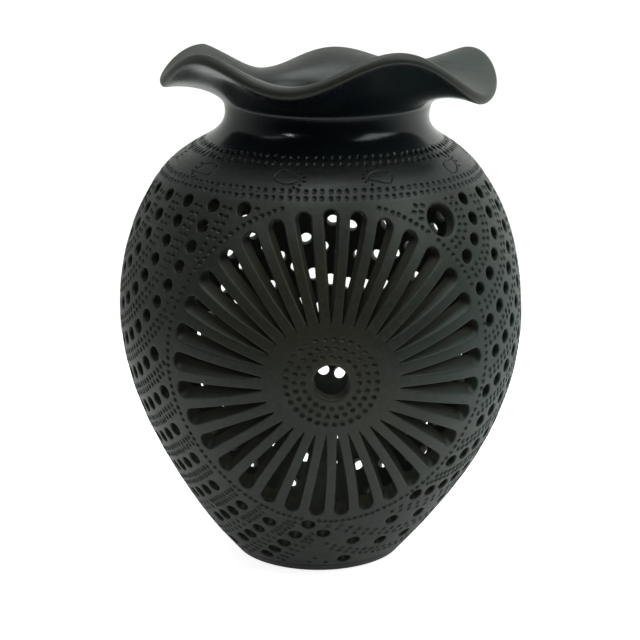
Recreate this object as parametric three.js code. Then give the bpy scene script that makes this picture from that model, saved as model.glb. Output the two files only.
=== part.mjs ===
// A barro negro vase: a black clay pot with a pierced belly, a burnished shoulder and neck, and a
// ruffled rim. Each node is one stage of the hand building, from the foot up to the rim, and each
// stage stands on the one below it, joint face on joint face.
// Millimetres, +Z up. The cut rosette faces -Y, and the origin is under the middle of the belly.
import * as THREE from "three";
import { ConvexHull } from "three/addons/math/ConvexHull.js";
import { mergeVertices } from "three/addons/utils/BufferGeometryUtils.js";

// ---- Driving dimensions ------------------------------------------------------------------

const WALL = 6; // thickness of the clay in belly, shoulder and neck

// The outside of the pot from the foot up to the throat: [radius, height].
const PROFILE = [
  [42.16, 0], [56.4, 16.76], [69.12, 34.7], [80.34, 53.61], [89.59, 73.56], [96.26, 94.51],
  [99.65, 116.22], [99.34, 138.19], [95.6, 158.84], [89.65, 175.79], [82.42, 188.94],
  [75.18, 198.45], [67.6, 204.9], [60.8, 209], [54.7, 212.7], [50.3, 217.4], [49.45, 222.6],
  [51, 228.4],
];
const FOOT_EASE = 0.8; // the softened edge of the foot
// The hand-built pot is not quite upright: [height, sideways shift] at each turn of its lean.
const LEAN = [[0, -1.4], [65, 0.6], [140, -0.3], [190, 0.4], [235, 3.5], [270, 3.5]];

// Heights of the joints between one stage and the next.
const FOOT_JOINT = 4.5; // also the thickness of the floor
const BELLY_JOINT = 192.6;
const SHOULDER_JOINT = 214;
const COLLAR_JOINT = 226;

// The rosette cut in the front, measured over the clay from the rim of its hub hole outwards.
const ROSETTE = { turn: 2.75, climb: 130.8 }; // degrees round the pot, mm up the clay
const HUB_RADIUS = 8;
const PETALS = 33;
const PETAL_TIP = 32; // where the pointed inner ends begin
const PETAL_END = 79; // where the round outer ends stop
const PETAL_WIDTH = 7.2;
const SWELL = 0.75; // below 1, the flanks bow outwards
const ROSETTE_CLEARANCE = 87; // no field hole is centred closer than this

// Three eyes below the shoulder, each the centre of a fan of round holes in arcs about it.
const EYES = [-87, 39.4, 166]; // degrees round the pot
const EYE_CLIMB = 201;
const EYE_RADIUS = 7.7;
const FAN_EDGES = [[-140.5, 0.5], [0.5, 102.7], [102.7, 219.5]]; // the sector of each fan
const FIRST_ARC = 21.5;
const ARC_SPACING = 17.2;
const ARCS = 12;
const HOLE_RADIUS = 3.25;
const HOLE_PITCH = 10.4;
const PITCH_GROWTH = 0.034; // the pitch widens on the long arcs low on the pot
const LONG_ARC = 100;
const FIELD_BOTTOM = 10.3;
const FIELD_TOP = 208.5;
const HOLE_GAP = 9; // least distance between two hole centres

// The rim: [degrees, height of the upper lip edge] at each crest and each dip.
const LIP = [
  [-85, 241.5], [-48, 256.6], [-14, 244.5], [23, 259.4], [66, 237], [112, 250.6], [149, 238.5],
  [177, 245.3], [211, 232.7], [236, 250.6], [275, 241.5],
];
const RIM_RADIUS = 81;
const RIM_THICKNESS = 5.8;
const RIM_RISE = 6; // the underside leaves the throat upright, on a handle this long,
const FLARE_RADIUS = 64; // and comes out to the lip from a handle at this radius,
const FLARE_HEIGHT = 235.5; // at this height where the underside of the lip is at FLARE_LIP,
const FLARE_LIP = 232;
const FLARE_SHARE = 0.375; // and rising and falling by this share of the lip's waves
const LIP_CORNER = 40; // degrees each way from the middle of the rounded lip

// How finely the round stretches are divided.
const FOOT_SIDES = 40;
const SHOULDER_SIDES = 64;
const RIM_SIDES = 70;
const HOLE_SIDES = 5;
const EYE_SIDES = 12;

// ---- The clay surface --------------------------------------------------------------------

const TURN = 2 * Math.PI;
const radians = THREE.MathUtils.degToRad;
const outside = new THREE.SplineCurve(PROFILE.map(([r, z]) => new THREE.Vector2(r, z)));
outside.arcLengthDivisions = 1000;
const PROFILE_LENGTH = outside.getLength();

// A point of the clay in section: `climb` is measured up the outside, `depth` into the wall.
function section(climb, depth = 0) {
  const along = THREE.MathUtils.clamp(climb / PROFILE_LENGTH, 0, 1);
  const way = outside.getTangentAt(along);
  const at = outside.getPointAt(along);
  return new THREE.Vector2(at.x - depth * way.y, at.y + depth * way.x);
}

// How far up the outside the clay at a given depth reaches a given height.
function climbTo(height, depth = 0) {
  let low = 0;
  let high = PROFILE_LENGTH;
  while (high - low > 1e-6) {
    const middle = (low + high) / 2;
    if (section(middle, depth).y < height) low = middle;
    else high = middle;
  }
  return (low + high) / 2;
}

// A level joint between two stages: its outer and inner corner, and how far up each skin they are.
function levelJoint(height) {
  const climb = climbTo(height);
  const innerClimb = climbTo(height, WALL);
  return {
    climb,
    innerClimb,
    outer: new THREE.Vector2(section(climb).x, height),
    inner: new THREE.Vector2(section(innerClimb, WALL).x, height),
  };
}

// The value at a place in a table of crests and dips, half a cosine from each to the next.
function eased(table, at) {
  const next = Math.max(1, table.findIndex(([place]) => place > at));
  const [startPlace, start] = table[next - 1];
  const [endPlace, end] = table[next];
  const share = (at - startPlace) / (endPlace - startPlace);
  return start + ((end - start) * (1 - Math.cos(Math.PI * share))) / 2;
}

const lean = (z) => eased(LEAN, z);

// From a place in section to a place in space; 0 turns to -Y, a quarter turn to +X.
function around(turn, at) {
  return new THREE.Vector3(at.x * Math.sin(turn) + lean(at.y), -at.x * Math.cos(turn), at.y);
}

// Distances on the clay, taken at the girth half way between the two places.
function shifted(from, across, up) {
  const girth = section(from.climb + up / 2).x;
  return { turn: from.turn + across / girth, climb: from.climb + up };
}

function distance(a, b) {
  const turn = Math.abs(a.turn - b.turn) % TURN;
  const girth = section((a.climb + b.climb) / 2).x;
  return Math.hypot(Math.min(turn, TURN - turn) * girth, a.climb - b.climb);
}

// ---- Openings ----------------------------------------------------------------------------

function roundOutline(centre, radius, sides) {
  // The polygon has the area of the circle it stands for.
  const reach = radius * Math.sqrt(TURN / (sides * Math.sin(TURN / sides)));
  return Array.from({ length: sides }, (_, i) => {
    const angle = (TURN * (i + 0.5)) / sides;
    return shifted(centre, reach * Math.cos(angle), reach * Math.sin(angle));
  });
}

// One petal: a pointed tip, two gently swelling flanks and a round end, along a ray.
function petalOutline(centre, angle) {
  const half = PETAL_WIDTH / 2;
  const flank = PETAL_END - half;
  const corners = [[PETAL_TIP, 0]];
  for (const share of [1 / 3, 2 / 3]) {
    corners.push([THREE.MathUtils.lerp(PETAL_TIP, flank, share), -half * share ** SWELL]);
  }
  for (const swing of [-90, -30, 30, 90]) {
    corners.push([flank + half * Math.cos(radians(swing)), half * Math.sin(radians(swing))]);
  }
  for (const share of [2 / 3, 1 / 3]) {
    corners.push([THREE.MathUtils.lerp(PETAL_TIP, flank, share), half * share ** SWELL]);
  }
  const cos = Math.cos(angle);
  const sin = Math.sin(angle);
  return corners.map(([out, side]) =>
    shifted(centre, out * cos - side * sin, out * sin + side * cos));
}

// The centres of the field holes: arcs about each eye, run clockwise from the shoulder band.
function fieldHoles(rosette, eyes) {
  const centres = [];
  eyes.forEach((eye, fan) => {
    const [start, end] = FAN_EDGES[fan].map(radians);
    for (let arc = 0; arc < ARCS; arc++) {
      const radius = FIRST_ARC + arc * ARC_SPACING;
      const pitch = HOLE_PITCH + PITCH_GROWTH * Math.max(0, radius - LONG_ARC);
      const top = Math.asin(Math.min(1, (FIELD_TOP - EYE_CLIMB) / radius));
      for (let angle = top; angle > -Math.PI - top; angle -= pitch / radius) {
        const hole = shifted(eye, radius * Math.cos(angle), radius * Math.sin(angle));
        if (hole.climb < FIELD_BOTTOM || hole.climb > FIELD_TOP + 0.1) continue;
        if (hole.turn < start || hole.turn > end) continue;
        if (distance(hole, rosette) < ROSETTE_CLEARANCE) continue;
        if (centres.some((other) => distance(hole, other) < HOLE_GAP)) continue;
        centres.push(hole);
      }
    }
  });
  return centres;
}

// ---- Solids ------------------------------------------------------------------------------

// A closed shell from an outer and an inner skin over the same corners. The belly bulges
// everywhere, so the hull of the corners is its skin; a face whose corners all belong to one
// outline is an opening, and the wall of the clay lines that outline instead.
function piercedShell(outlines, plainPlaces) {
  const corners = [];
  outlines.forEach(({ places, joint }, outline) => {
    for (const { turn, climb } of places) {
      const outer = joint ? joint.outer : section(climb);
      const inner = joint ? joint.inner : section(climb, WALL);
      corners.push({ turn, outer, inner, outline });
    }
  });
  for (const { turn, climb } of plainPlaces) {
    corners.push({ turn, outer: section(climb), inner: section(climb, WALL), outline: null });
  }
  const hullPoints = corners.map(({ turn, outer }) =>
    new THREE.Vector3(outer.x * Math.sin(turn), -outer.x * Math.cos(turn), outer.y));
  const indexOf = new Map(hullPoints.map((point, i) => [point, i]));
  const positions = [];
  for (const { turn, outer } of corners) positions.push(...around(turn, outer).toArray());
  for (const { turn, inner } of corners) positions.push(...around(turn, inner).toArray());

  const triangles = [];
  const inward = corners.length;
  for (const face of new ConvexHull().setFromPoints(hullPoints).faces) {
    const [a, b, c] = [0, 1, 2].map((i) => indexOf.get(face.getEdge(i).head().point));
    const outline = corners[a].outline;
    const opening = outline !== null
      && outline === corners[b].outline && outline === corners[c].outline;
    if (opening) continue;
    triangles.push(a, b, c, a + inward, c + inward, b + inward);
  }
  let first = 0;
  for (const { places } of outlines) {
    places.forEach((_, i) => {
      const here = first + i;
      const next = first + ((i + 1) % places.length);
      triangles.push(here, next, next + inward, here, next + inward, here + inward);
    });
    first += places.length;
  }
  const geometry = new THREE.BufferGeometry();
  geometry.setAttribute("position", new THREE.Float32BufferAttribute(positions, 3));
  geometry.setIndex(triangles);
  return geometry;
}

// A turned ring or disc from a closed outline in section, leaning with the rest of the pot.
// The outline runs anticlockwise in section: up the outside and down the inside.
function turned(outline, sides) {
  const lathe = new THREE.LatheGeometry(outline, sides);
  lathe.deleteAttribute("normal");
  lathe.deleteAttribute("uv");
  lathe.rotateX(Math.PI / 2);
  const positions = lathe.getAttribute("position");
  for (let i = 0; i < positions.count; i++) {
    positions.setX(i, positions.getX(i) + lean(positions.getZ(i)));
  }
  return mergeVertices(lathe, 1e-4);
}

// A stretch of the wall from one joint to the next, in section.
function wallOutline(low, high, steps) {
  const outer = [low.outer];
  const inner = [low.inner];
  for (let i = 1; i < steps; i++) {
    outer.push(section(THREE.MathUtils.lerp(low.climb, high.climb, i / steps)));
    inner.push(section(THREE.MathUtils.lerp(low.innerClimb, high.innerClimb, i / steps), WALL));
  }
  outer.push(high.outer);
  inner.push(high.inner);
  return [...outer, ...inner.reverse(), low.outer.clone()];
}

function footDisc() {
  const joint = levelJoint(FOOT_JOINT);
  return turned([
    new THREE.Vector2(0, 0),
    new THREE.Vector2(section(0).x - FOOT_EASE, 0),
    section(FOOT_EASE),
    section(joint.climb / 2),
    joint.outer,
    new THREE.Vector2(0, FOOT_JOINT),
  ], FOOT_SIDES);
}

function piercedBelly() {
  const rosette = { turn: radians(ROSETTE.turn), climb: ROSETTE.climb };
  const eyes = EYES.map((turn) => ({ turn: radians(turn), climb: EYE_CLIMB }));
  // Seen from outside, the clay is on the right of an opening's outline; the joint rings follow suit.
  const ring = (joint, sides, direction) => ({
    joint,
    places: Array.from({ length: sides }, (_, i) => ({ turn: (direction * TURN * i) / sides })),
  });
  const outlines = [
    ring(levelJoint(FOOT_JOINT), FOOT_SIDES, -1),
    ring(levelJoint(BELLY_JOINT), SHOULDER_SIDES, 1),
    { places: roundOutline(rosette, HUB_RADIUS, EYE_SIDES) },
  ];
  for (let i = 0; i < PETALS; i++) {
    outlines.push({ places: petalOutline(rosette, (TURN * i) / PETALS + TURN / 4) });
  }
  for (const eye of eyes) outlines.push({ places: roundOutline(eye, EYE_RADIUS, EYE_SIDES) });
  for (const hole of fieldHoles(rosette, eyes)) {
    outlines.push({ places: roundOutline(hole, HOLE_RADIUS, HOLE_SIDES) });
  }
  const hubPlate = roundOutline(rosette, (HUB_RADIUS + PETAL_TIP) / 2, EYE_SIDES);
  return piercedShell(outlines, hubPlate);
}

function lipHeight(turn) {
  const first = LIP[0][0];
  const degrees = THREE.MathUtils.radToDeg(turn);
  return eased(LIP, THREE.MathUtils.euclideanModulo(degrees - first, 360) + first);
}

// The rim in section at one place round the pot: out along the underside, round the lip and
// back over the top to the throat.
function rimOutline(turn, steps = 5) {
  const joint = levelJoint(COLLAR_JOINT);
  const start = joint.outer;
  const way = outside.getTangentAt(joint.climb / PROFILE_LENGTH);
  const half = RIM_THICKNESS / 2;
  const lip = lipHeight(turn) - RIM_THICKNESS;
  const underside = new THREE.CubicBezierCurve(
    start,
    start.clone().addScaledVector(way, RIM_RISE),
    new THREE.Vector2(FLARE_RADIUS, FLARE_HEIGHT + FLARE_SHARE * (lip - FLARE_LIP)),
    new THREE.Vector2(RIM_RADIUS - half, lip),
  );
  const under = [];
  const top = [];
  for (let i = 0; i <= steps; i++) {
    const at = underside.getPoint(i / steps);
    const along = underside.getTangent(i / steps);
    under.push(at);
    top.push(new THREE.Vector2(at.x - RIM_THICKNESS * along.y, at.y + RIM_THICKNESS * along.x));
  }
  top[0] = joint.inner;
  const out = underside.getTangent(1);
  const middle = under[steps].clone().add(top[steps]).multiplyScalar(0.5);
  const edge = [-LIP_CORNER, 0, LIP_CORNER].map((swing) => middle.clone()
    .addScaledVector(out, half * Math.cos(radians(swing)))
    .add(new THREE.Vector2(-out.y, out.x).multiplyScalar(half * Math.sin(radians(swing)))));
  return [...under, ...edge, ...top.reverse(), under[0].clone()];
}

function ruffledRim() {
  const ring = new THREE.LatheGeometry(rimOutline(0), RIM_SIDES);
  ring.deleteAttribute("normal");
  ring.deleteAttribute("uv");
  const positions = ring.getAttribute("position");
  const corners = rimOutline(0).length;
  for (let side = 0; side <= RIM_SIDES; side++) {
    const turn = (TURN * (side % RIM_SIDES)) / RIM_SIDES;
    rimOutline(turn).forEach((at, corner) => {
      positions.setXYZ(side * corners + corner, ...around(turn, at).toArray());
    });
  }
  return mergeVertices(ring, 1e-4);
}

// ---- The pot -----------------------------------------------------------------------------

const satinClay = { color: 0x2f3130, roughness: 0.55, metalness: 0.15 };
const burnishedClay = { color: 0x1c1e20, roughness: 0.25, metalness: 0.2 };

function stage(name, geometry, finish) {
  const mesh = new THREE.Mesh(geometry, new THREE.MeshStandardMaterial(finish));
  mesh.name = name;
  return mesh;
}

const shoulder = wallOutline(levelJoint(BELLY_JOINT), levelJoint(SHOULDER_JOINT), 3);
const collar = wallOutline(levelJoint(SHOULDER_JOINT), levelJoint(COLLAR_JOINT), 4);

const pot = new THREE.Group();
pot.add(
  stage("foot_disc", footDisc(), satinClay),
  stage("pierced_belly", piercedBelly(), satinClay),
  stage("shoulder_ring", turned(shoulder, SHOULDER_SIDES), burnishedClay),
  stage("neck_collar", turned(collar, SHOULDER_SIDES), burnishedClay),
  stage("ruffled_rim", ruffledRim(), burnishedClay),
);

export default pot;
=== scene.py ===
"""The looks of a barro negro vase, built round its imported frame: pierced, punched and burnished
black clay. The clay is worked out in millimetres and turned into metres when a mesh is made."""
import math

import bpy
import numpy as np
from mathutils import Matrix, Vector
from mathutils.geometry import delaunay_2d_cdt


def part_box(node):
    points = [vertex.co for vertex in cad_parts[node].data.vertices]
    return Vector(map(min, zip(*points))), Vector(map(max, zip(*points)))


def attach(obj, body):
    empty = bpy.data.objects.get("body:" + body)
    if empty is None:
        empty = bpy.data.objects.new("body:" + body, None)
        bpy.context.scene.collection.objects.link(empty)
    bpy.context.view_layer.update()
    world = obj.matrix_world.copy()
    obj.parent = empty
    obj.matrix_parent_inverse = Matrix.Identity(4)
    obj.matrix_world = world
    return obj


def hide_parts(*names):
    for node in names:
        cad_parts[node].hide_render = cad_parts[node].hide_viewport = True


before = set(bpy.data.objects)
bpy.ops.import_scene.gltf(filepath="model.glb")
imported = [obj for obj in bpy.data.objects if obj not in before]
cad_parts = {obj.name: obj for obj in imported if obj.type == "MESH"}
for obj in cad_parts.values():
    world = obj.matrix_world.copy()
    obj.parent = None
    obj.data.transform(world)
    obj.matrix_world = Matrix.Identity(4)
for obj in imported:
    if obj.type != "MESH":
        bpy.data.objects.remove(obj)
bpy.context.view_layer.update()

MM = 0.001
TURN = 2 * math.pi
rng = np.random.default_rng(7)


def level(node, end):
    """Height in mm of a CAD node's lowest (0) or highest (1) point."""
    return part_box(node)[end].z / MM


# ---- The pot's dimensions, in millimetres ------------------------------------------------

WALL = 6.0
FOOT_JOINT = level("foot_disc", 1)
BELLY_JOINT = level("pierced_belly", 1)
SHOULDER_JOINT = level("shoulder_ring", 1)
COLLAR_JOINT = level("neck_collar", 1)

# The outside from the foot up to the throat: radius and height.
PROFILE = [
    (42.16, 0), (56.4, 16.76), (69.12, 34.7), (80.34, 53.61), (89.59, 73.56), (96.26, 94.51),
    (99.65, 116.22), (99.34, 138.19), (95.6, 158.84), (89.65, 175.79), (82.42, 188.94),
    (75.18, 198.45), (67.6, 204.9), (60.8, 209.0), (54.7, 212.7), (50.3, 217.4),
    (49.45, 222.6), (51.0, 228.4),
]
INSET = 0.3  # the modelled skin keeps this far inside the frame, for the clay's unevenness
FOOT_EASE = 0.8  # how far the trimmed edge of the foot is rounded
LEAN = [(0, -1.4), (65, 0.6), (140, -0.3), (190, 0.4), (235, 3.5), (270, 3.5)]

ROSETTE = (math.radians(2.75), 130.8)  # turn, climb
HUB_RADIUS = 8.0
PETALS = 33
PETAL_TIP = 32.0
TIP_PULL = 5.0  # the tips above and below the hub come nearer to it by this much
PETAL_END = 79.4
PETAL_WIDTH = 8.8
SWELL = 0.75  # the power of its length with which a petal widens
ROSETTE_CLEARANCE = 87.0  # no small hole's centre is nearer to the middle of the rosette

EYES = [math.radians(a) for a in (-87, 39.4, 166)]
EYE_CLIMB = 201.0
EYE_RADIUS = 7.7
FAN_EDGES = [tuple(math.radians(a) for a in pair)
             for pair in ((-140.5, 0.5), (0.5, 102.7), (102.7, 219.5))]
FIRST_ARC = 21.5  # radius of the innermost arc of small holes about an eye
ARC_SPACING = 17.2
ARCS = 12
HOLE_RADIUS = 3.25
HOLE_SIZES = (0.96, 1.04)  # the drill wanders by this much
HOLE_PITCH = 10.4
PITCH_GROWTH = 0.034  # how much wider the pitch gets with each millimetre past LONG_ARC
LONG_ARC = 100.0
FIELD_BOTTOM = 10.3  # the climbs between which small holes lie
FIELD_TOP = 208.5
HOLE_GAP = 9.0  # the least distance between two small holes

# The lip's height by turn in degrees: its crests and dips.
LIP = [
    (-85, 241.5), (-48, 256.6), (-14, 244.5), (23, 259.4), (66, 237), (112, 250.6),
    (149, 238.5), (177, 245.3), (211, 232.7), (236, 250.6), (275, 241.5),
]
RIM_RADIUS = 81.0
RIM_THICKNESS = 5.8
RIM_RISE = 6  # how far the rim carries straight on from the throat
FLARE_RADIUS = 64  # where the underside turns outwards, and how its height follows the lip's
FLARE_HEIGHT = 235.5
FLARE_LIP = 232
FLARE_SHARE = 0.375
LIP_INSET = 0.5  # the modelled lip stays this far below the frame's
LIP_SQUARENESS = 0.7  # under 1, the lip's edge is fuller than a half circle

# Punched decoration.
HUB_RINGS = [(12.8, 20), (16.8, 26), (21.0, 33)]  # radius and number of dots
ROSETTE_RING = 83.4
DOT_PITCH = 3.6
LINE_OFFSET = 1.75  # each line of a double line, from the middle of the gap between hole arcs
ARC_OVERSHOOT = 0.9  # radians by which a line of dots may pass the level of its eye
LOWER_BAND = [215.3, 219.1]
LOWER_BAND_PITCH = 3.72
UPPER_BAND = [234.6, 239.3]
UPPER_BAND_PITCH = 3.9
# Half the height and half the width of each kind of dot.
HUB_DOT = (1.3, 1.25)
RING_DOT = (1.25, 1.05)
LINE_DOT = (1.45, 0.98)
LOWER_DOT = (1.3, 1.0)
UPPER_DOT = (1.9, 0.85)
TICK_DOT = (0.95, 0.5)
# A dimple from its edge to its middle: share of its size, share of its depth, corners.
DIMPLE = [(1.35, 0.0, 10), (1.08, -0.09, 10), (0.88, 0.3, 9), (0.5, 0.92, 6)]
# How each dot strays from the next: its size, tilt, place across and up, and depth.
DOT_SIZES = (0.88, 1.12)
DOT_TILT = 0.25
DOT_DRIFT = (0.22, 0.2)
DOT_DEPTHS = (0.85, 1.1)
# What the dots keep clear of, from their own centres.
JOINT_MARGIN = 2.6
HOLE_MARGIN = 1.95
EYE_MARGIN = 2.75
FAN_MARGIN = 1.6
RING_MARGIN = 3
DOT_GAP = 2.75

LEAVES = 10
FIRST_LEAF = math.radians(-86)
LEAF_CLIMB = 226.4
LEAF_DRIFT = 0.6  # how far each leaf strays up or down, and how much it tilts
LEAF_TILT = 0.5
LEAF_LENGTH = 5.9  # half of it, and half the width
LEAF_WIDTH = 3.7
LEAF_GROOVE = (1.1, 0.75)  # width and depth
LEAF_POINTS = 64
TICKS = 5
TICK_RING = (8.9, 5.6)  # half the length and half the width of the oval that the ticks lie on
TICK_SPREAD = 0.85

# How polished the clay is: by climb on the outside, and along the rim's section from the joint
# out to the lip (about half way) and back over the top.
BURNISH = [(0, 0.0), (211, 0.0), (217, 0.15), (234, 0.3), (242, 0.95), (260, 1.0)]
RIM_BURNISH = [(0, 1.0), (0.4, 0.95), (0.45, 0.4), (0.55, 0.25), (0.75, 0.25), (1.0, 0.6)]

# How much paler the rim's clay is painted, also along its section: a painted highlight, most at
# the lip's edge band and faint over the top.
RIM_PAINTED_HIGHLIGHT = [(0, 0), (0.43, 0), (0.47, 0.35), (0.57, 0.35), (0.65, 0.1), (1.0, 0.1)]

# Radius and height on the underside, which is a little hollow in the middle.
UNDERSIDE = [(2, 0.35), (12, 0.3), (22, 0.22), (31, 0.12), (32, 0.3), (33, 0.02), (38, 0.0)]
UNDERSIDE_MIDDLE = 0.35
EDGE_SWELL = 0.3  # how far the trimmed edge of the foot swells out as it rises
EDGE_HEIGHT = 0.6  # how high it is, as a share of FOOT_EASE
FLOOR_MARGIN = 8.0  # the rings of corners on the floor of the hollow: in from the wall by this,
FLOOR_RINGS = [20, 5]  # and these radii
FOOT_STEPS = 8  # corners up the side of the foot

RING_POINTS = 480  # corners round each level joint
HOLE_POINTS = 22
EYE_POINTS = 44
PETAL_POINTS = 88
FOOT_POINTS = 160
BELLY_SPACING = 0.026  # distance between plain corners, in radians of turn
SHOULDER_SPACING = 0.02
INNER_SPACING = 0.05

# ---- The clay surface --------------------------------------------------------------------


def catmull_rom(points, steps=80):
    """A uniform Catmull-Rom curve through the points, the same as the frame's profile."""
    p = np.array([points[0], *points, points[-1]], float)
    t = np.linspace(0, 1, steps, endpoint=False)[:, None]
    spans = []
    for a, b, c, d in zip(p, p[1:], p[2:], p[3:]):
        v0, v1 = (c - a) / 2, (d - b) / 2
        spans.append((2 * b - 2 * c + v0 + v1) * t**3 + (3 * c - 3 * b - 2 * v0 - v1) * t**2
                     + v0 * t + b)
    return np.vstack([*spans, p[-1:]])


def smoothed(values, reach):
    """Gaussian smoothing that carries straight on past both ends."""
    half = 3 * reach
    left = 2 * values[0] - values[half:0:-1]
    right = 2 * values[-1] - values[-2:-half - 2:-1]
    window = np.exp(-0.5 * (np.arange(-half, half + 1) / reach) ** 2)
    return np.convolve(np.concatenate([left, values, right]), window / window.sum(), "valid")


STEP = 0.25
SMOOTHING = 14  # steps of climb over which the profile is smoothed
SETTLING = 4  # climb over which the skin comes down to the table
_line = catmull_rom(PROFILE)
_along = np.concatenate([[0], np.cumsum(np.hypot(*np.diff(_line, axis=0).T))])
CLIMB = np.arange(0, _along[-1], STEP)
HEIGHT = smoothed(np.interp(CLIMB, _along, _line[:, 1]), SMOOTHING)
RADIUS = smoothed(np.interp(CLIMB, _along, _line[:, 0]), SMOOTHING)
_way = np.stack([np.gradient(RADIUS), np.gradient(HEIGHT)])
_way /= np.hypot(*_way)
NORMAL_R, NORMAL_Z = _way[1], -_way[0]
RADIUS = RADIUS - INSET * NORMAL_R
HEIGHT = HEIGHT - INSET * NORMAL_Z
HEIGHT -= HEIGHT[0] * np.exp(-CLIMB / SETTLING)
# Equal steps of this coordinate and of the turn are equal lengths on the clay.
CONFORMAL = np.concatenate([[0], np.cumsum(STEP / (RADIUS[1:] + RADIUS[:-1]) * 2)])


def on(table, climb):
    """The value at a climb in one of the tables above."""
    return np.interp(climb, CLIMB, table)


def eased(table, at):
    """The value at a place in a table of crests and dips, half a cosine from each to the next."""
    places, values = np.array(table, float).T
    i = np.clip(np.searchsorted(places, at, "right"), 1, len(places) - 1)
    share = (at - places[i - 1]) / (places[i] - places[i - 1])
    return values[i - 1] + (values[i] - values[i - 1]) * (1 - np.cos(np.pi * share)) / 2


def lean(z):
    return eased(LEAN, z)


# The hollows left by the hands: depth, waves round the pot, climb to a radian, and start.
HOLLOWS = [(0.10, 3, 37, 0.6), (0.07, 5, -21, 0.0), (0.05, 11, 13, 2.0)]
HOLLOWS_FROM, HOLLOWS_TO, HOLLOWS_FADE = 8, 236, 10  # the climbs they lie between


def unevenness(turn, climb):
    """The slow hollows and swellings left by the potter's hands, none of them at the ends."""
    waves = sum(depth * np.sin(number * turn + climb / reach + start)
                for depth, number, reach, start in HOLLOWS)
    inside = np.minimum(climb - HOLLOWS_FROM, HOLLOWS_TO - climb)
    return waves * np.clip(inside / HOLLOWS_FADE, 0, 1)


def in_space(turn, r, z):
    return np.stack([r * np.sin(turn) + lean(z), -r * np.cos(turn), z], -1)


def on_clay(turn, climb, depth):
    """Places at a depth under the outside of the wall."""
    deep = depth - unevenness(turn, climb)
    r = on(RADIUS, climb) - deep * on(NORMAL_R, climb)
    z = on(HEIGHT, climb) - deep * on(NORMAL_Z, climb)
    return in_space(turn, r, z)


def climb_to(height, depth=0.0):
    """The climb at which the wall reaches a height, on its skin or at a depth under it."""
    reached = HEIGHT - depth * NORMAL_Z
    return float(np.interp(height, reached, CLIMB))


def shifted(centre, across, up):
    """Places a distance away on the clay, by the girth half way there."""
    turn, climb = centre
    return turn + across / on(RADIUS, climb + up / 2), climb + up


def gap(a, b):
    """The distance on the clay between two places."""
    turn = np.abs(a[0] - b[0]) % TURN
    girth = on(RADIUS, (a[1] + b[1]) / 2)
    return np.hypot(np.minimum(turn, TURN - turn) * girth, a[1] - b[1])


# ---- Openings and punched marks ----------------------------------------------------------


ROUNDING = 0.1  # each arc starts at FIELD_TOP, give or take rounding
ROUND_UNEVENNESS = 0.02


def field_holes():
    """The centres of the round holes: arcs about each eye, run clockwise from the shoulder."""
    centres = []
    for eye_turn, (start, end) in zip(EYES, FAN_EDGES):
        for arc in range(ARCS):
            radius = FIRST_ARC + arc * ARC_SPACING
            pitch = HOLE_PITCH + PITCH_GROWTH * max(0, radius - LONG_ARC)
            top = math.asin(min(1, (FIELD_TOP - EYE_CLIMB) / radius))
            for angle in np.arange(top, -math.pi - top, -pitch / radius):
                hole = shifted((eye_turn, EYE_CLIMB), radius * math.cos(angle),
                               radius * math.sin(angle))
                if not FIELD_BOTTOM <= hole[1] <= FIELD_TOP + ROUNDING:
                    continue
                if not start <= hole[0] <= end:
                    continue
                if gap(hole, ROSETTE) < ROSETTE_CLEARANCE:
                    continue
                if any(gap(hole, other) < HOLE_GAP for other in centres):
                    continue
                centres.append(hole)
    return centres


def round_outline(radius, points):
    """A circle in the clay's own plane, for any distance outside its edge."""
    angle = TURN * (np.arange(points) + 0.5) / points
    uneven = radius * (1 + ROUND_UNEVENNESS * np.sin(2 * angle + rng.uniform(0, TURN)))

    def outline(out):
        return (uneven + out) * np.cos(angle), (uneven + out) * np.sin(angle)
    return outline


BACK_ROOM = 0.62  # the share of a petal's half width by which it may narrow behind
LEAST_ROOM = 0.02
SOFT_SILL = 1.2  # how much wider the lower edge of a petal is rounded than its upper edge


def petal_outline(angle, points=PETAL_POINTS):
    """A teardrop along a ray from the rosette's centre, for any distance outside its edge."""
    half = PETAL_WIDTH / 2
    flank = PETAL_END - half
    tip = PETAL_TIP - TIP_PULL * math.sin(angle) ** 2
    share = np.linspace(0, 1, 400) ** 2
    side = np.stack([tip + (flank - tip) * share, -half * share**SWELL])
    swing = np.linspace(-math.pi / 2, math.pi / 2, 120)[1:]
    end = np.stack([flank + half * np.cos(swing), half * np.sin(swing)])
    back = side[:, -2:0:-1] * [[1], [-1]]
    line = np.hstack([side, end, back])
    closed = np.hstack([line, line[:, :1]])
    along = np.concatenate([[0], np.cumsum(np.hypot(*np.diff(closed, axis=1)))])
    even = np.arange(points) / points * along[-1]
    x, y = np.interp(even, along, closed[0]), np.interp(even, along, closed[1])
    dx, dy = np.roll(x, -1) - np.roll(x, 1), np.roll(y, -1) - np.roll(y, 1)
    length = np.hypot(dx, dy)
    nx, ny = dy / length, -dx / length
    cos, sin = math.cos(angle), math.sin(angle)

    room = np.maximum(BACK_ROOM * np.abs(y), LEAST_ROOM)
    room[x > flank] = half
    below = np.clip(-nx * sin - ny * cos, 0, 1)
    softer = 1 + SOFT_SILL * below * np.clip(np.abs(y) / half, 0, 1)

    def outline(out):
        out = np.maximum(out * softer if out > 0 else out, -room)
        a, b = x + out * nx, y + out * ny
        return a * cos - b * sin, a * sin + b * cos
    return outline


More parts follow.
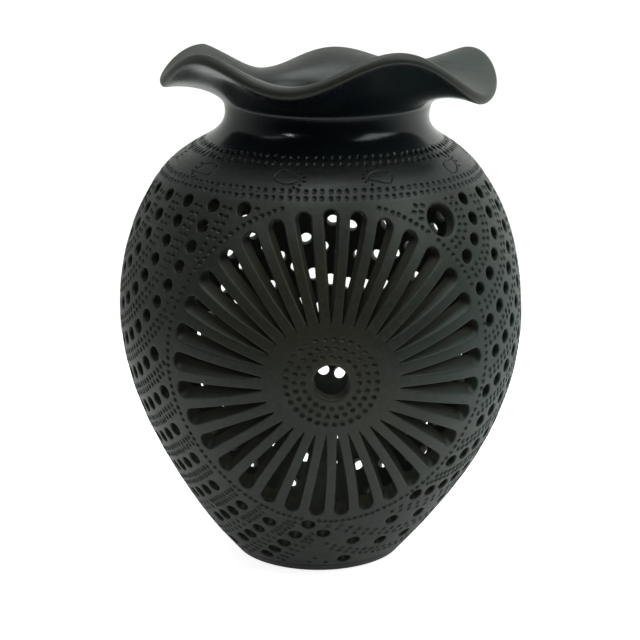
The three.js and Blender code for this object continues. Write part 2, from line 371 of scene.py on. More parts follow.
# Each kind of cut: the distance outside its outline and the depth under the skin, from the cut
# up to the skin; how far outside its outline it comes out at the back of the wall; and how far
# up the slanting knife has gone by then.
HOLE_CUT = {"edge": [(0.0, 0.85), (0.1, 0.4), (0.32, 0.12), (0.75, 0.0)], "back": 0.2, "lift": 0}
EYE_CUT = {"edge": [(0.0, 1.7), (0.12, 0.95), (0.45, 0.35), (0.95, 0.08), (1.6, 0.0)],
           "back": 0.1, "lift": 0}
PETAL_CUT = {"edge": [(-0.25, 0.85), (-0.1, 0.4), (0.12, 0.12), (0.55, 0.0)],
             "back": -0.9, "lift": 3.3}
INNER_EASE = 0.6  # the inner edge is rounded over this depth, and flares by INNER_FLARE
INNER_FLARE = 0.5
INNER_POLISH = 0.1
INNER_RAW = 0.15


def openings():
    """Every cut through the belly: its centre, its outline and how its edge is rounded."""
    cuts = [(ROSETTE, round_outline(HUB_RADIUS, EYE_POINTS), EYE_CUT)]
    for petal in range(PETALS):
        angle = TURN * petal / PETALS + TURN / 4
        cuts.append((ROSETTE, petal_outline(angle), PETAL_CUT))
    for turn in EYES:
        cuts.append(((turn, EYE_CLIMB), round_outline(EYE_RADIUS, EYE_POINTS), EYE_CUT))
    for hole in field_holes():
        radius = HOLE_RADIUS * rng.uniform(*HOLE_SIZES)
        cuts.append((hole, round_outline(radius, HOLE_POINTS), HOLE_CUT))
    return cuts


def dot_lines():
    """Candidate dots of the belly: place, half height, half width and tilt. The first ones to
    claim a place keep it."""
    for radius, number in HUB_RINGS:
        for angle in TURN * np.arange(number) / number:
            place = shifted(ROSETTE, radius * math.cos(angle), radius * math.sin(angle))
            yield place, *HUB_DOT, angle
    number = round(TURN * ROSETTE_RING / DOT_PITCH)
    for angle in TURN * np.arange(number) / number:
        place = shifted(ROSETTE, ROSETTE_RING * math.cos(angle), ROSETTE_RING * math.sin(angle))
        yield place, *RING_DOT, angle
    for eye_turn, fan in zip(EYES, FAN_EDGES):
        for arc in range(ARCS + 2):
            for side in (-LINE_OFFSET, LINE_OFFSET):
                radius = FIRST_ARC + (arc - 0.5) * ARC_SPACING + side
                yield from arc_dots((eye_turn, EYE_CLIMB), radius, fan)


def arc_dots(eye, radius, fan):
    """One line of dots about an eye, within its fan and outside the rosette."""
    start, end = fan
    for angle in np.arange(ARC_OVERSHOOT, -math.pi - ARC_OVERSHOOT, -DOT_PITCH / radius):
        place = shifted(eye, radius * math.cos(angle), radius * math.sin(angle))
        margin = FAN_MARGIN / on(RADIUS, place[1])
        if not start + margin < place[0] < end - margin:
            continue
        if gap(place, ROSETTE) > ROSETTE_RING + RING_MARGIN:
            yield place, *LINE_DOT, angle


def belly_dots(cuts):
    """The dots that clear the joints, the openings and each other."""
    holes = [(c[0], HOLE_RADIUS + HOLE_MARGIN) for c in cuts if c[2] is HOLE_CUT]
    holes += [((turn, EYE_CLIMB), EYE_RADIUS + EYE_MARGIN) for turn in EYES]
    hole_places = np.array([p for p, _ in holes]).T
    clearances = np.array([r for _, r in holes])
    kept, dots = np.zeros((2, 0)), []
    low, high = climb_to(FOOT_JOINT) + JOINT_MARGIN, climb_to(BELLY_JOINT) - JOINT_MARGIN
    for place, tall, wide, tilt in dot_lines():
        if not low < place[1] < high or np.any(gap(place, hole_places) < clearances):
            continue
        if np.any(gap(place, kept) < DOT_GAP):
            continue
        kept = np.hstack([kept, [[place[0]], [place[1]]]])
        dots.append((place, tall, wide, tilt))
    return dots


def band_dots(climb, pitch, tall, wide):
    """A row of dots right round the pot."""
    number = round(TURN * float(on(RADIUS, climb)) / pitch)
    for i in range(number):
        yield (TURN * i / number, climb), tall, wide, math.pi / 2


# ---- Skins -------------------------------------------------------------------------------


CLEARING = 0.42  # the side of a cell, as a share of the spacing
ROW_STEP = 0.866  # the height of a row of equal triangles
DISORDER = 0.12
WRAP = 0.2  # the radians of turn by which the triangulation runs on past the back of the pot
SEAM_TOLERANCE = 1e-5


class Skin:
    """Places on the clay with their depths. `cut` marks the corners of an opening's edge."""

    def __init__(self):
        self.turn, self.climb, self.depth, self.cut = [], [], [], []
        self.outlines = []
        self.count = 0

    def add(self, turn, climb, depth, cut=-1):
        turn, climb = np.broadcast_arrays(np.atleast_1d(turn), np.atleast_1d(climb))
        number = len(turn)
        self.turn.append((turn + math.pi) % TURN - math.pi)
        self.climb.append(climb)
        self.depth.append(np.broadcast_to(depth, number))
        self.cut.append(np.full(number, cut))
        if cut >= 0:
            self.outlines.append((turn, on(CONFORMAL, climb)))
        self.count += number
        return np.arange(self.count - number, self.count)

    def punch(self, dot):
        """A dimple pressed with a round-ended tool, a little uneven as by hand."""
        place, tall, wide, tilt = dot
        tall, wide = tall * rng.uniform(*DOT_SIZES), wide * rng.uniform(*DOT_SIZES)
        tilt = tilt + rng.uniform(-DOT_TILT, DOT_TILT)
        across, up = (rng.uniform(-drift, drift) for drift in DOT_DRIFT)
        place = shifted(place, across, up)
        sunk = rng.uniform(*DOT_DEPTHS)
        for share, depth, points in DIMPLE:
            angle = TURN * np.arange(points) / points
            a, b = tall * share * np.cos(angle), wide * share * np.sin(angle)
            across = a * math.cos(tilt) - b * math.sin(tilt)
            up = a * math.sin(tilt) + b * math.cos(tilt)
            self.add(*shifted(place, across, up), depth * sunk)

    def groove(self, place, x, y, width, depth):
        """An incised closed line along points in the clay's own plane."""
        dx, dy = np.roll(x, -1) - np.roll(x, 1), np.roll(y, -1) - np.roll(y, 1)
        nx, ny = dy / np.hypot(dx, dy), -dx / np.hypot(dx, dy)
        for side, sunk in ((0, 1), (0.5, 0.15), (-0.5, 0.15), (1, 0), (-1, 0)):
            out = side * width / 2
            self.add(*shifted(place, x + out * nx, y + out * ny), sunk * depth)

    def fill(self, low, high, spacing, depth=0.0):
        """Plain places between the marks, in offset rows with a little disorder, and two dense
        rings at the level joints. Returns the rings' corners."""
        turns = TURN * (np.arange(RING_POINTS) + 0.5) / RING_POINTS - math.pi
        rings = [self.add(turns, end, depth) for end in (low, high)]
        cell = spacing * CLEARING
        taken = self.marked_cells(cell)
        bottom, top = on(CONFORMAL, low), on(CONFORMAL, high)
        rows = int((top - bottom) / (spacing * ROW_STEP))
        columns = round(TURN / spacing)
        for row in range(1, rows):
            y = bottom + (top - bottom) * row / rows
            x = -math.pi + TURN * (np.arange(columns) + 0.25 + 0.5 * (row % 2)) / columns
            x = x + rng.uniform(-DISORDER, DISORDER, columns) * spacing
            y = y + rng.uniform(-DISORDER, DISORDER, columns) * spacing
            climb = np.interp(y, CONFORMAL, CLIMB)
            hidden = self.covered(x, y)
            free = [i for i in range(columns) if not hidden[i]
                    and (math.floor(x[i] / cell), math.floor(y[i] / cell)) not in taken]
            if free:
                self.add(x[free], climb[free], depth)
        return rings

    def marked_cells(self, cell):
        """The square cells that hold a corner, and the eight round each of them."""
        x = np.concatenate(self.turn) / cell
        y = on(CONFORMAL, np.concatenate(self.climb)) / cell
        taken = set()
        for dx in (-1, 0, 1):
            for dy in (-1, 0, 1):
                taken.update(zip(np.floor(x + dx).astype(int).tolist(),
                                 np.floor(y + dy).astype(int).tolist()))
        return taken

    def covered(self, turn, up):
        """Which places, given by turn and conformal height, lie inside an opening."""
        hidden = np.zeros(len(turn), bool)
        for ring_turn, ring_up in self.outlines:
            near = (turn - ring_turn[0] + math.pi) % TURN - math.pi
            ring = (ring_turn - ring_turn[0] + math.pi) % TURN - math.pi
            close = np.flatnonzero((near > ring.min()) & (near < ring.max())
                                   & (up > ring_up.min()) & (up < ring_up.max()))
            x, y = near[close, None], up[close, None]
            x0, y0, x1, y1 = ring, ring_up, np.roll(ring, -1), np.roll(ring_up, -1)
            spans = (y0 > y) != (y1 > y)
            crossed = x < x0 + (x1 - x0) * (y - y0) / np.where(y1 == y0, 1, y1 - y0)
            hidden[close] |= (spans & crossed).sum(1) % 2 == 1
        return hidden

    def arrays(self):
        return (np.concatenate(self.turn), np.concatenate(self.climb),
                np.concatenate(self.depth), np.concatenate(self.cut))

    def triangles(self):
        """Delaunay triangles round the whole girth, less those inside an opening."""
        turn, climb, _, cut = self.arrays()
        up = on(CONFORMAL, climb)
        left = np.flatnonzero(turn > math.pi - WRAP)
        right = np.flatnonzero(turn < -math.pi + WRAP)
        source = np.concatenate([np.arange(len(turn)), left, right])
        x = np.concatenate([turn, turn[left] - TURN, turn[right] + TURN])
        points = [Vector(p) for p in np.stack([x, up[source]], -1).tolist()]
        found = delaunay_2d_cdt(points, [], [], 0, 1e-9, True)
        verts, faces, origins = found[0], np.array(found[2]), found[3]
        first = source[np.array([o[0] for o in origins])]
        centres = np.array([v[:] for v in verts])[faces].mean(1)
        here = np.flatnonzero(np.abs(centres[:, 0]) < math.pi + SEAM_TOLERANCE)
        faces = first[faces[here]]
        once = np.sort(np.unique(np.sort(faces, 1), axis=0, return_index=True)[1])
        faces, centres = faces[once], centres[here[once]]
        cuts = cut[faces]
        inside = (cuts[:, 0] >= 0) & (cuts[:, 0] == cuts[:, 1]) & (cuts[:, 1] == cuts[:, 2])
        doubtful = np.flatnonzero(inside)
        inside[doubtful] = self.covered(*centres[doubtful].T)
        return faces[~inside]


def leaf_marks(skin):
    """Incised leaves round the shoulder, each with a row of short ticks beside it."""
    phase = TURN * np.arange(LEAF_POINTS) / LEAF_POINTS
    for leaf in range(LEAVES):
        climb = LEAF_CLIMB + rng.uniform(-LEAF_DRIFT, LEAF_DRIFT)
        place = (FIRST_LEAF + TURN * leaf / LEAVES, climb)
        tilt = rng.uniform(-LEAF_TILT, LEAF_TILT) + (math.pi if leaf % 2 else 0)
        x = LEAF_LENGTH * np.cos(phase) * (1 + 0.12 * np.cos(phase))
        y = LEAF_WIDTH * np.sin(phase) * (1 - 0.3 * np.cos(phase)) + 0.5 * np.cos(3 * phase)
        cos, sin = math.cos(tilt), math.sin(tilt)
        skin.groove(place, x * cos - y * sin, x * sin + y * cos, *LEAF_GROOVE)
        for tick in np.linspace(-TICK_SPREAD, TICK_SPREAD, TICKS):
            a, b = TICK_RING[0] * math.cos(tick), TICK_RING[1] * math.sin(tick)
            spot = shifted(place, a * cos - b * sin, a * sin + b * cos)
            skin.punch((spot, *TICK_DOT, tilt + tick))


def lining(here, there):
    """Quads between two rings of the same number of corners."""
    return np.stack([here, np.roll(here, -1), np.roll(there, -1), there], -1)


# ---- Meshes ------------------------------------------------------------------------------


def corner_normals(places, triangles, quads):
    """Area-weighted normals of the skins and cuts."""
    faces = np.vstack([triangles, quads[:, [0, 1, 2]], quads[:, [0, 2, 3]]])
    a, b, c = (places[faces[:, i]] for i in range(3))
    across = np.cross(b - a, c - a)
    normals = np.zeros_like(places)
    for i in range(3):
        for axis in range(3):
            normals[:, axis] += np.bincount(faces[:, i], across[:, axis], len(places))
    return normals / np.maximum(np.linalg.norm(normals, axis=1, keepdims=True), 1e-12)


def clay_object(name, places, triangles, quads, joint_quads, normals, material, burnish, raw_clay_and_rim_highlight):
    """A closed piece. Its normals run on across the level joints, which the hand smoothed over.
    `burnish` says how polished the clay is at each corner, and the other values how much paler
    raw clay shows there, which on the rim is a painted highlight."""
    mesh = bpy.data.meshes.new(name)
    faces = triangles.tolist() + quads.tolist() + joint_quads.tolist()
    mesh.from_pydata((places * MM).tolist(), [], faces)
    mesh.polygons.foreach_set("use_smooth", np.ones(len(faces), bool))
    mesh.normals_split_custom_set_from_vertices(normals.tolist())
    for finish, values in (("burnish", burnish), ("raw_clay_and_rim_highlight", raw_clay_and_rim_highlight)):
        layer = mesh.attributes.new(finish, "FLOAT", "POINT")
        layer.data.foreach_set("value", np.ascontiguousarray(values, np.float32))
    mesh.materials.append(material)
    piece = bpy.data.objects.new(name, mesh)
    bpy.context.scene.collection.objects.link(piece)
    return piece


def cut_through(outer, inner, cuts):
    """Opens both skins. Returns each cut's corners in the outer skin, its corners in the inner
    one, and the places where the cut meets the inner skin's rounding."""
    edges = []
    for number, (centre, outline, cut) in enumerate(cuts):
        for i, (out, depth) in enumerate(cut["edge"]):
            corners = outer.add(*shifted(centre, *outline(out)), depth, -1 if i else number)
            if i == 0:
                rim = corners
        x, y = outline(cut["back"] + INNER_FLARE)
        sill = inner.add(*shifted(centre, x, y + cut["lift"]), WALL, number)
        x, y = outline(cut["back"])
        depth = WALL - INNER_EASE
        waist = on_clay(*shifted(centre, x, y + cut["lift"] * depth / WALL), depth)
        edges.append((rim, sill, waist))
    return edges


def skin_places(skin, rings, heights):
    """The skin's corners in space, those of the two rings exactly at their joints."""
    turn, climb, depth, _ = skin.arrays()
    places = on_clay(turn, climb, depth)
    for ring, height in zip(rings, heights):
        places[ring, 2] = height
    return places


def ring_normals(skin, ring):
    """The normals of the smooth profile at a joint."""
    turn, climb, _, _ = skin.arrays()
    r, z = on(NORMAL_R, climb[ring]), on(NORMAL_Z, climb[ring])
    return np.stack([r * np.sin(turn[ring]), -r * np.cos(turn[ring]), z], -1)


def wall_piece(name, node, material, low, high, cuts, dots, spacing, draw=None):
    """A stretch of the wall between two level joints, cut through and punched."""
    outer, inner = Skin(), Skin()
    edges = cut_through(outer, inner, cuts)
    for dot in dots:
        outer.punch(dot)
    if draw:
        draw(outer)
    outer_rings = outer.fill(climb_to(low), climb_to(high), spacing)
    inner_rings = inner.fill(climb_to(low, WALL), climb_to(high, WALL), INNER_SPACING, WALL)
    first, count = outer.count, outer.count + inner.count
    triangles = np.vstack([outer.triangles(), inner.triangles()[:, ::-1] + first])
    places = [skin_places(outer, outer_rings, (low, high)),
              skin_places(inner, inner_rings, (low, high))]
    quads = [np.zeros((0, 4), int)]
    for rim, sill, waist in edges:
        corners = np.arange(count, count + len(rim))
        count += len(rim)
        places.append(waist)
        quads += [lining(rim, corners), lining(corners, sill + first)]
    places, quads = np.vstack(places), np.vstack(quads)
    ends = [lining(outer_rings[0], inner_rings[0] + first)[:, ::-1],
            lining(outer_rings[1], inner_rings[1] + first)]

    normals = corner_normals(places, triangles, quads)
    for ring in outer_rings:
        normals[ring] = ring_normals(outer, ring)
    for ring in inner_rings:
        normals[ring + first] = -ring_normals(inner, ring)
    polish = np.full(count, INNER_POLISH)
    polish[:first] = np.interp(outer.arrays()[1], *zip(*BURNISH))
    raw_clay_and_rim_highlight = np.full(count, 1.0)
    raw_clay_and_rim_highlight[:first] = 0.0
    raw_clay_and_rim_highlight[first:first + inner.count] = INNER_RAW
    piece = clay_object(name, places, triangles, quads, np.vstack(ends), normals, material,
                        polish, raw_clay_and_rim_highlight)
    return finish_piece(piece, node)


def finish_piece(piece, node):
    """Joins a piece to the frame."""
    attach(piece, "root")
    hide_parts(node)
    return piece


def swept(name, node, material, sections, burnish, raw_clay_and_rim_highlight, caps=None):
    """A ring whose section changes round the pot. `sections` is places by turn and corner, and
    `burnish` and `raw_clay_and_rim_highlight` go by corner. A section closes on itself across the level joint, or on
    two `caps`, places on the pot's axis."""
    turns, corners, _ = sections.shape
    places = sections.reshape(-1, 3)
    here = np.arange(turns * corners).reshape(turns, corners)
    after = np.roll(here, -1, 0)
    quads = np.vstack([
        np.stack([here[:, i], after[:, i], after[:, i + 1], here[:, i + 1]], -1)
        for i in range(corners - 1)
    ])
    burnish, raw_clay_and_rim_highlight = np.tile(burnish, turns), np.tile(raw_clay_and_rim_highlight, turns)
    if caps is None:
        triangles = np.zeros((0, 3), int)
        joint = np.stack([here[:, -1], after[:, -1], after[:, 0], here[:, 0]], -1)
    else:
        joint = np.zeros((0, 4), int)
        places = np.vstack([places, caps])
        burnish, raw_clay_and_rim_highlight = np.append(burnish, [0, 0]), np.append(raw_clay_and_rim_highlight, [0.5, 0.5])
        first, last = len(places) - 2, len(places) - 1
        triangles = np.vstack([
            np.stack([np.full(turns, first), after[:, 0], here[:, 0]], -1),
            np.stack([here[:, -1], after[:, -1], np.full(turns, last)], -1),
        ])
    normals = corner_normals(places, triangles, quads)
    piece = clay_object(name, places, triangles, quads, joint, normals, material, burnish, raw_clay_and_rim_highlight)
    return finish_piece(piece, node)


# ---- The rim -----------------------------------------------------------------------------


RIM_STEPS = 44
LIP_STEPS = 13


def lip_height(turn):
    """The height of the rim's crest at a turn in radians."""
    first = LIP[0][0]
    return float(eased(LIP, (math.degrees(turn) - first) % 360 + first))


def bezier(t, *p):
    """Places and directions along a cubic curve."""
    a, b, c, d = (np.array(q)[:, None] for q in p)
    u = 1 - t
    at = a * u**3 + 3 * b * u**2 * t + 3 * c * u * t**2 + d * t**3
    way = 3 * ((b - a) * u**2 + 2 * (c - b) * u * t + (d - c) * t**2)
    return at, way / np.hypot(*way)


def rim_section(turn):
    """Out along the underside, round the lip, back over the top and down to the joint."""
    climb = climb_to(COLLAR_JOINT)
    start = np.array([on(RADIUS, climb), COLLAR_JOINT])
    way = np.array([-on(NORMAL_Z, climb), on(NORMAL_R, climb)])
    half = RIM_THICKNESS / 2
    lip = lip_height(turn) - RIM_THICKNESS - LIP_INSET
    t = np.linspace(0, 1, RIM_STEPS)
    flare = (FLARE_RADIUS, FLARE_HEIGHT + FLARE_SHARE * (lip - FLARE_LIP))
    under, along = bezier(t, start, start + RIM_RISE * way, flare,
                          (RIM_RADIUS - half - INSET, lip))
    thick = WALL + (RIM_THICKNESS - WALL) * t
    top = under + thick * np.stack([-along[1], along[0]])
    middle, out = (under[:, -1] + top[:, -1]) / 2, along[:, -1]
    up = np.array([-out[1], out[0]])
    swing = np.linspace(-math.pi / 2, math.pi / 2, LIP_STEPS)[1:-1]
    square = np.abs(np.cos(swing)) ** LIP_SQUARENESS
    edge = middle[:, None] + half * (out[:, None] * square + up[:, None] * np.sin(swing))
    inner_climb = climb_to(COLLAR_JOINT, WALL)
    corner = [on(RADIUS, inner_climb) - WALL * on(NORMAL_R, inner_climb), COLLAR_JOINT]
    return np.hstack([under, edge, top[:, ::-1], np.array(corner)[:, None]])


def ruffled_rim(material):
    """The rim, with its lip waving up and down."""
    turns = TURN * (np.arange(RING_POINTS) + 0.5) / RING_POINTS - math.pi
    sections = np.array([in_space(turn, *rim_section(turn)) for turn in turns])
    share = np.linspace(0, 1, sections.shape[1])
    burnish = np.interp(share, *zip(*RIM_BURNISH))
    # Paler clay painted along the section: a highlight, most on the lip's edge band, faint over
    # the top.
    raw_clay_and_rim_highlight = np.interp(share, *zip(*RIM_PAINTED_HIGHLIGHT))
    return swept("rim", "ruffled_rim", material, sections, burnish, raw_clay_and_rim_highlight)


def foot(material):
    """The clay floor: a flat resting face with a trimmed edge, and the floor of the hollow."""
    side = np.linspace(FOOT_EASE, climb_to(FOOT_JOINT), FOOT_STEPS)
    ease = np.linspace(0, math.pi / 2, 5)[:-1]
    edge = float(RADIUS[0]) - FOOT_EASE + EDGE_SWELL * np.sin(ease)
    r = [*(radius for radius, _ in UNDERSIDE), *edge, *on(RADIUS, side)]
    z = [*(height for _, height in UNDERSIDE),
         *(FOOT_EASE * (1 - np.cos(ease)) * EDGE_HEIGHT), *on(HEIGHT, side)]
    z[-1] = FOOT_JOINT
    inner = climb_to(FOOT_JOINT, WALL)
    floor = on(RADIUS, inner) - WALL * on(NORMAL_R, inner)
    inside = [floor, floor - FLOOR_MARGIN, *FLOOR_RINGS]
    r += inside
    z += [FOOT_JOINT] * len(inside)
    turns = TURN * (np.arange(FOOT_POINTS) + 0.5) / FOOT_POINTS - math.pi
    sections = np.array([in_space(t, np.array(r, float), np.array(z, float)) for t in turns])
    caps = in_space(0.0, np.zeros(2), np.array([UNDERSIDE_MIDDLE, FOOT_JOINT]))
    raw_clay_and_rim_highlight = np.where(np.arange(len(r)) < len(UNDERSIDE) + 2, 0.5, 0.0)
    return swept("foot", "foot_disc", material, sections, 0 * raw_clay_and_rim_highlight, raw_clay_and_rim_highlight, caps)


# ---- Materials ---------------------------------------------------------------------------


class Nodes:
    """A short way to write a node tree."""

    def __init__(self, name):
        self.material = bpy.data.materials.new(name)
        self.material.use_nodes = True
        self.tree = self.material.node_tree
        self.shader = self.tree.nodes["Principled BSDF"]

    def add(self, kind, settings=None, **inputs):
        node = self.tree.nodes.new(kind)
        for key, value in (settings or {}).items():
            setattr(node, key, value)
        for key, value in inputs.items():
            self.feed(node.inputs[key.replace("_", " ")], value)
        return node

    def feed(self, socket, value):
        if isinstance(value, bpy.types.NodeSocket):
            self.tree.links.new(value, socket)
        else:
            socket.default_value = value

    def ramp(self, factor, *stops):
        node = self.add("ShaderNodeValToRGB", Fac=factor)
        elements = node.color_ramp.elements
        while len(elements) < len(stops):
            elements.new(0.5)
        for element, (position, value) in zip(elements, stops):
            element.position = position
            element.color = (*value, 1) if isinstance(value, tuple) else (value,) * 3 + (1,)
        return node.outputs["Color"]

    def noise(self, place, scale, detail, roughness):
        return self.add("ShaderNodeTexNoise", Vector=place, Scale=scale, Detail=detail,
                        Roughness=roughness).outputs["Fac"]

    def math(self, operation, a, b):
        node = self.add("ShaderNodeMath", {"operation": operation})
        self.feed(node.inputs[0], a)
        self.feed(node.inputs[1], b)
        return node.outputs[0]

    def mix(self, factor, a, b):
        node = self.add("ShaderNodeMix", {"data_type": "RGBA"})
        self.feed(node.inputs["Factor"], factor)
        self.feed(node.inputs[6], a)
        self.feed(node.inputs[7], b)
        return node.outputs[2]


# Colours of the clay, and of the painted sheen and painted highlights.
SATIN_DARK = (0.0062, 0.0075, 0.0066)
SATIN_LIGHT = (0.0168, 0.0192, 0.0170)
GLOSS_DARK = (0.0034, 0.0055, 0.0076)
GLOSS_LIGHT = (0.0072, 0.0105, 0.0128)
WARM = (0.028, 0.0245, 0.0130)
# Painted sheen: a paler teal laid on the right side, where the key lamp's light falls.
PAINTED_SHEEN_TINT = (0.0165, 0.0330, 0.0300)
# Browner raw clay of the cuts and the underside; on the rim it is a painted highlight.
RAW_CLAY_AND_RIM_HIGHLIGHT = (0.056, 0.050, 0.033)
# Painted highlight on sharp edges, and also the colour of the paler specks.
PAINTED_EDGE_HIGHLIGHT_AND_FLECK = (0.05, 0.051, 0.048)
# How much of each is mixed in at most.
WARM_SHARE = 0.6
PAINTED_SHEEN_SHARE = 0.8
RAW_CLAY_AND_RIM_HIGHLIGHT_SHARE = 0.75
PAINTED_EDGE_HIGHLIGHT_SHARE = 0.3
FLECK_SHARE = 0.35

# Noise scales, in waves to the metre.
CLOUD_SCALE = 24.0
BLOOM_SCALE = 13.0
STROKE_SCALE = 70.0
STROKE_STRETCH = 16.0  # strokes run round the pot
SPECKLE_SCALE = 420.0
SAND_SCALE = 1300.0

HUB_FRONT = Vector((0.014, -0.1, 0.138))  # the middle of the warm bloom
WARM_REACH = (0.02, 0.1)  # distances at which the warm bloom is full and gone
PAINTED_SHEEN_SIDE = (0.02, 0.08)  # how far to the right the painted sheen starts and is full
STREAK_HEIGHT = (0.07, 0.03)  # in mm, on satin and on burnished clay
GRAIN_HEIGHT = (0.022, 0.001)
SATIN_ROUGHNESS = (0.38, 0.5)  # the least and the most, from stroke to stroke
GLOSS_ROUGHNESS = (0.13, 0.21)
RAW_ROUGHNESS = 0.68
# How strongly each clay reflects, and in what tint.
SATIN_SHEEN = (0.28, (0.92, 1.0, 0.93))
GLOSS_SHEEN = (0.32, (0.91, 0.99, 1.0))


def clay_colour(n, place, burnish, raw_clay_and_rim_highlight):
    """Cloudy greys with a warm bloom in front, a painted teal sheen on the right where the key
    lamp falls, painted highlights on paler sharp edges, paler specks, and browner clay in the
    cuts, which on the rim is painted on as a highlight."""
    cloud = n.noise(place, CLOUD_SCALE, 5.0, 0.6)
    bloom = n.noise(place, BLOOM_SCALE, 3.0, 0.5)
    speckle = n.noise(place, SPECKLE_SCALE, 3.0, 0.6)
    satin = n.mix(n.ramp(cloud, (0.3, 0.0), (0.7, 1.0)), (*SATIN_DARK, 1), (*SATIN_LIGHT, 1))
    gloss = n.mix(n.ramp(cloud, (0.3, 0.0), (0.7, 1.0)), (*GLOSS_DARK, 1), (*GLOSS_LIGHT, 1))
    base = n.mix(burnish, satin, gloss)

    away = n.add("ShaderNodeVectorMath", {"operation": "DISTANCE"})
    n.feed(away.inputs[0], place)
    away.inputs[1].default_value = HUB_FRONT
    near = n.ramp(away.outputs["Value"], (WARM_REACH[0], 1.0), (WARM_REACH[1], 0.0))
    warmth = n.math("MULTIPLY", near, n.ramp(bloom, (0.38, 0.2), (0.62, 1.0)))
    base = n.mix(n.math("MULTIPLY", warmth, WARM_SHARE), base, (*WARM, 1))
    side = n.add("ShaderNodeSeparateXYZ", Vector=place).outputs["X"]
    # Painted sheen: the right side, which faces the key lamp, is tinted a paler teal.
    painted_sheen = n.math("MULTIPLY", n.ramp(side, (PAINTED_SHEEN_SIDE[0], 0.0), (PAINTED_SHEEN_SIDE[1], 1.0)),
                      n.ramp(bloom, (0.35, 1.0), (0.6, 0.4)))
    base = n.mix(n.math("MULTIPLY", painted_sheen, PAINTED_SHEEN_SHARE), base, (*PAINTED_SHEEN_TINT, 1))

    # Raw clay in the cuts and underneath, and on the rim a painted highlight.
    base = n.mix(n.math("MULTIPLY", raw_clay_and_rim_highlight, RAW_CLAY_AND_RIM_HIGHLIGHT_SHARE), base, (*RAW_CLAY_AND_RIM_HIGHLIGHT, 1))
    # Painted highlight: sharp edges, found by pointiness, are made paler.
    edge = n.add("ShaderNodeNewGeometry").outputs["Pointiness"]
    painted_edge_highlight = n.ramp(edge, (0.53, 0.0), (0.62, 1.0))
    base = n.mix(n.math("MULTIPLY", painted_edge_highlight, PAINTED_EDGE_HIGHLIGHT_SHARE), base, (*PAINTED_EDGE_HIGHLIGHT_AND_FLECK, 1))
    flecks = n.math("MULTIPLY", n.ramp(speckle, (0.45, 0.0), (0.8, FLECK_SHARE)),
                    n.ramp(burnish, (0.1, 1.0), (0.7, 0.0)))
    return n.mix(flecks, base, (*PAINTED_EDGE_HIGHLIGHT_AND_FLECK, 1))


def clay_finish(n, place, burnish, raw_clay_and_rim_highlight):
    """Roughness and bump: burnishing streaks round the pot and a fine sandy grain."""
    stretch = (1.0, 1.0, STROKE_STRETCH)
    streaks = n.add("ShaderNodeMapping", Vector=place, Scale=stretch).outputs[0]
    strokes = n.noise(streaks, STROKE_SCALE, 4.0, 0.6)
    sand = n.noise(place, SAND_SCALE, 3.0, 0.7)
    satin, gloss = (n.ramp(strokes, (0.3, least), (0.7, most))
                    for least, most in (SATIN_ROUGHNESS, GLOSS_ROUGHNESS))
    rough = n.mix(burnish, satin, gloss)
    rough = n.mix(n.math("MULTIPLY", raw_clay_and_rim_highlight, 0.8), rough, (RAW_ROUGHNESS,) * 3 + (1,))
    streak, grain = (n.math("MULTIPLY", marks, n.ramp(burnish, (0.0, low), (1.0, high)))
                     for marks, (low, high) in ((strokes, STREAK_HEIGHT), (sand, GRAIN_HEIGHT)))
    height = n.math("MULTIPLY", n.math("ADD", streak, grain), MM)
    bump = n.add("ShaderNodeBump", Strength=1.0, Distance=1.0, Height=height)
    return rough, bump.outputs["Normal"]


def clay_material(name, specular, tint):
    """Smoke-fired clay. Each piece's own `burnish` and `raw_clay_and_rim_highlight` values say how it looks where."""
    n = Nodes(name)
    n.shader.inputs["Specular IOR Level"].default_value = specular
    n.shader.inputs["Specular Tint"].default_value = (*tint, 1)
    place = n.add("ShaderNodeTexCoord").outputs["Object"]
    burnish = n.add("ShaderNodeAttribute", {"attribute_name": "burnish"}).outputs["Fac"]
    raw_clay_and_rim_highlight = n.add("ShaderNodeAttribute", {"attribute_name": "raw_clay_and_rim_highlight"}).outputs["Fac"]
    rough, normal = clay_finish(n, place, burnish, raw_clay_and_rim_highlight)
    n.feed(n.shader.inputs["Base Color"], clay_colour(n, place, burnish, raw_clay_and_rim_highlight))
    n.feed(n.shader.inputs["Roughness"], rough)
    n.feed(n.shader.inputs["Normal"], normal)
    return n.material


# ---- Stage -------------------------------------------------------------------------------


FLOOR_RADIUS = 0.42
FLOOR_CORNERS = 128
FLOOR_GREY = (0.86, 0.86, 0.86, 1)
FLOOR_GLOW = (0.22, 0.85)  # as the pot sees it, and as the camera does
TENT_COLOUR = (0.97, 1, 0.955, 1)
TENT_SEEN = 1.1  # how bright the tent is to the camera
# The tent's glow along each axis: where it starts and stops changing, and from what to what.
TENT_DEPTH = ("Y", -0.7, 0.45, 0.03, 1.15)
TENT_HEIGHT = ("Z", 0.25, 0.9, 1.0, 0.65)
TENT_SIDES = ("X", -0.7, 0.5, 0.45, 0.95)
# Square lamps: name, place, size and power.
LAMPS = [
    ("key", (0.95, -0.45, 1.0), 0.8, 7.2),
    ("spark", (-0.75, -0.8, 0.9), 0.12, 1.2),
    ("brow", (-0.1, -0.6, 1.5), 0.6, 5.2),
    ("fill", (-0.8, -0.3, 1.3), 0.6, 1.6),
    ("top", (0.15, 0.12, 1.5), 0.9, 9.6),
]
LAMP_COLOUR = (0.95, 1, 0.965)
LAMP_AIM = Vector((0, 0, 0.13))


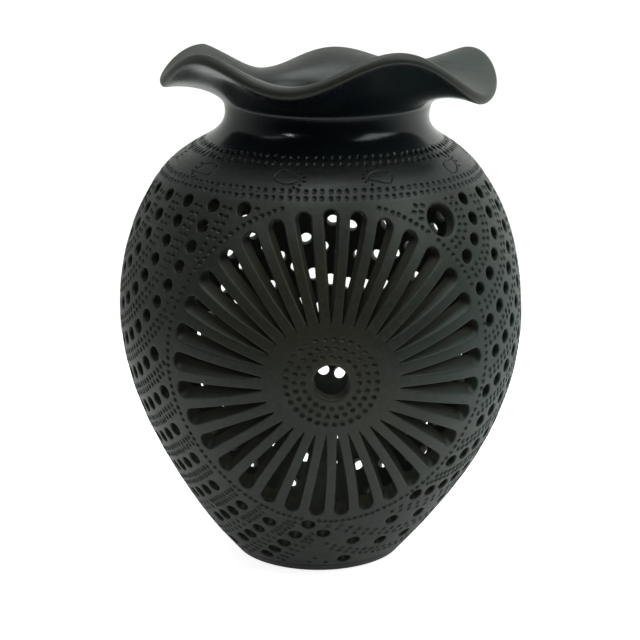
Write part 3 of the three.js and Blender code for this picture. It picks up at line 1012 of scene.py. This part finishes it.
def light_table():
    """The floor, a round white light table."""
    turns = np.linspace(TURN, 0, FLOOR_CORNERS, endpoint=False)
    edge = [(FLOOR_RADIUS * math.sin(a), FLOOR_RADIUS * math.cos(a), 0) for a in turns]
    mesh = bpy.data.meshes.new("floor")
    mesh.from_pydata(edge, [], [range(FLOOR_CORNERS)])
    floor = bpy.data.objects.new("floor", mesh)
    bpy.context.scene.collection.objects.link(floor)
    paper = Nodes("paper")
    paper.feed(paper.shader.inputs["Base Color"], FLOOR_GREY)
    paper.feed(paper.shader.inputs["Roughness"], 1.0)
    paper.feed(paper.shader.inputs["Specular IOR Level"], 0.0)
    paper.feed(paper.shader.inputs["Emission Color"], (1, 1, 1, 1))
    seen = paper.add("ShaderNodeLightPath").outputs["Is Camera Ray"]
    glow = paper.ramp(seen, (0.0, FLOOR_GLOW[0]), (1.0, FLOOR_GLOW[1]))
    paper.feed(paper.shader.inputs["Emission Strength"], glow)
    mesh.materials.append(paper.material)


def tent():
    """A soft white tent, which is dark on the camera's side."""
    world = bpy.data.worlds.new("tent")
    bpy.context.scene.world = world
    world.use_nodes = True
    tree = world.node_tree
    background = tree.nodes["Background"]
    background.inputs["Color"].default_value = TENT_COLOUR
    coord = tree.nodes.new("ShaderNodeTexCoord")
    split = tree.nodes.new("ShaderNodeSeparateXYZ")
    tree.links.new(coord.outputs["Generated"], split.inputs[0])

    def ramp(axis, start, end, low, high):
        node = tree.nodes.new("ShaderNodeMapRange")
        node.interpolation_type = "SMOOTHSTEP"
        tree.links.new(split.outputs[axis], node.inputs["Value"])
        for value, place in zip((start, end, low, high), (1, 2, 3, 4)):
            node.inputs[place].default_value = value
        return node.outputs["Result"]

    def times(a, b):
        node = tree.nodes.new("ShaderNodeMath")
        node.operation = "MULTIPLY"
        tree.links.new(a, node.inputs[0])
        tree.links.new(b, node.inputs[1])
        return node.outputs[0]

    glow = times(times(ramp(*TENT_DEPTH), ramp(*TENT_HEIGHT)), ramp(*TENT_SIDES))
    seen = tree.nodes.new("ShaderNodeLightPath")
    white = tree.nodes.new("ShaderNodeMix")
    tree.links.new(seen.outputs["Is Camera Ray"], white.inputs["Factor"])
    tree.links.new(glow, white.inputs[2])
    white.inputs[3].default_value = TENT_SEEN
    tree.links.new(white.outputs[0], background.inputs["Strength"])


def lamps():
    """The lamps over the pot, all turned to its middle."""
    for name, place, size, power in LAMPS:
        light = bpy.data.lights.new(name, "AREA")
        light.size = size
        light.energy = power
        light.color = LAMP_COLOUR
        lamp = bpy.data.objects.new(name, light)
        lamp.location = place
        lamp.rotation_euler = (LAMP_AIM - lamp.location).to_track_quat("-Z", "Y").to_euler()
        bpy.context.scene.collection.objects.link(lamp)


CAMERA_PITCH = math.radians(15.3)
CAMERA_DISTANCE = 0.872
CAMERA_LENS = 97.9
AIM = Vector((-0.0005, 0, 0.1173))


def camera():
    """The camera, at the photograph's angle."""
    lens = bpy.data.cameras.new("camera")
    lens.lens = CAMERA_LENS
    lens.sensor_width = 36
    eye = bpy.data.objects.new("camera", lens)
    back = Vector((0, -math.cos(CAMERA_PITCH), math.sin(CAMERA_PITCH)))
    eye.location = AIM + CAMERA_DISTANCE * back
    eye.rotation_euler = (-back).to_track_quat("-Z", "Y").to_euler()
    bpy.context.scene.collection.objects.link(eye)
    bpy.context.scene.camera = eye


# ---- Assembly ----------------------------------------------------------------------------


camera()
light_table()
tent()
lamps()
bpy.context.scene.view_settings.view_transform = "Standard"

satin = clay_material("satin_clay", *SATIN_SHEEN)
burnished = clay_material("burnished_clay", *GLOSS_SHEEN)
cuts = openings()
foot(satin)
wall_piece("belly", "pierced_belly", satin, FOOT_JOINT, BELLY_JOINT, cuts,
           belly_dots(cuts), BELLY_SPACING)
bands = [d for climb in LOWER_BAND for d in band_dots(climb, LOWER_BAND_PITCH, *LOWER_DOT)]
bands += [d for climb in UPPER_BAND for d in band_dots(climb, UPPER_BAND_PITCH, *UPPER_DOT)]
wall_piece("shoulder", "shoulder_ring", burnished, BELLY_JOINT,
           SHOULDER_JOINT, [], bands, SHOULDER_SPACING, leaf_marks)
wall_piece("collar", "neck_collar", burnished, SHOULDER_JOINT, COLLAR_JOINT,
           [], [], SHOULDER_SPACING)
ruffled_rim(burnished)
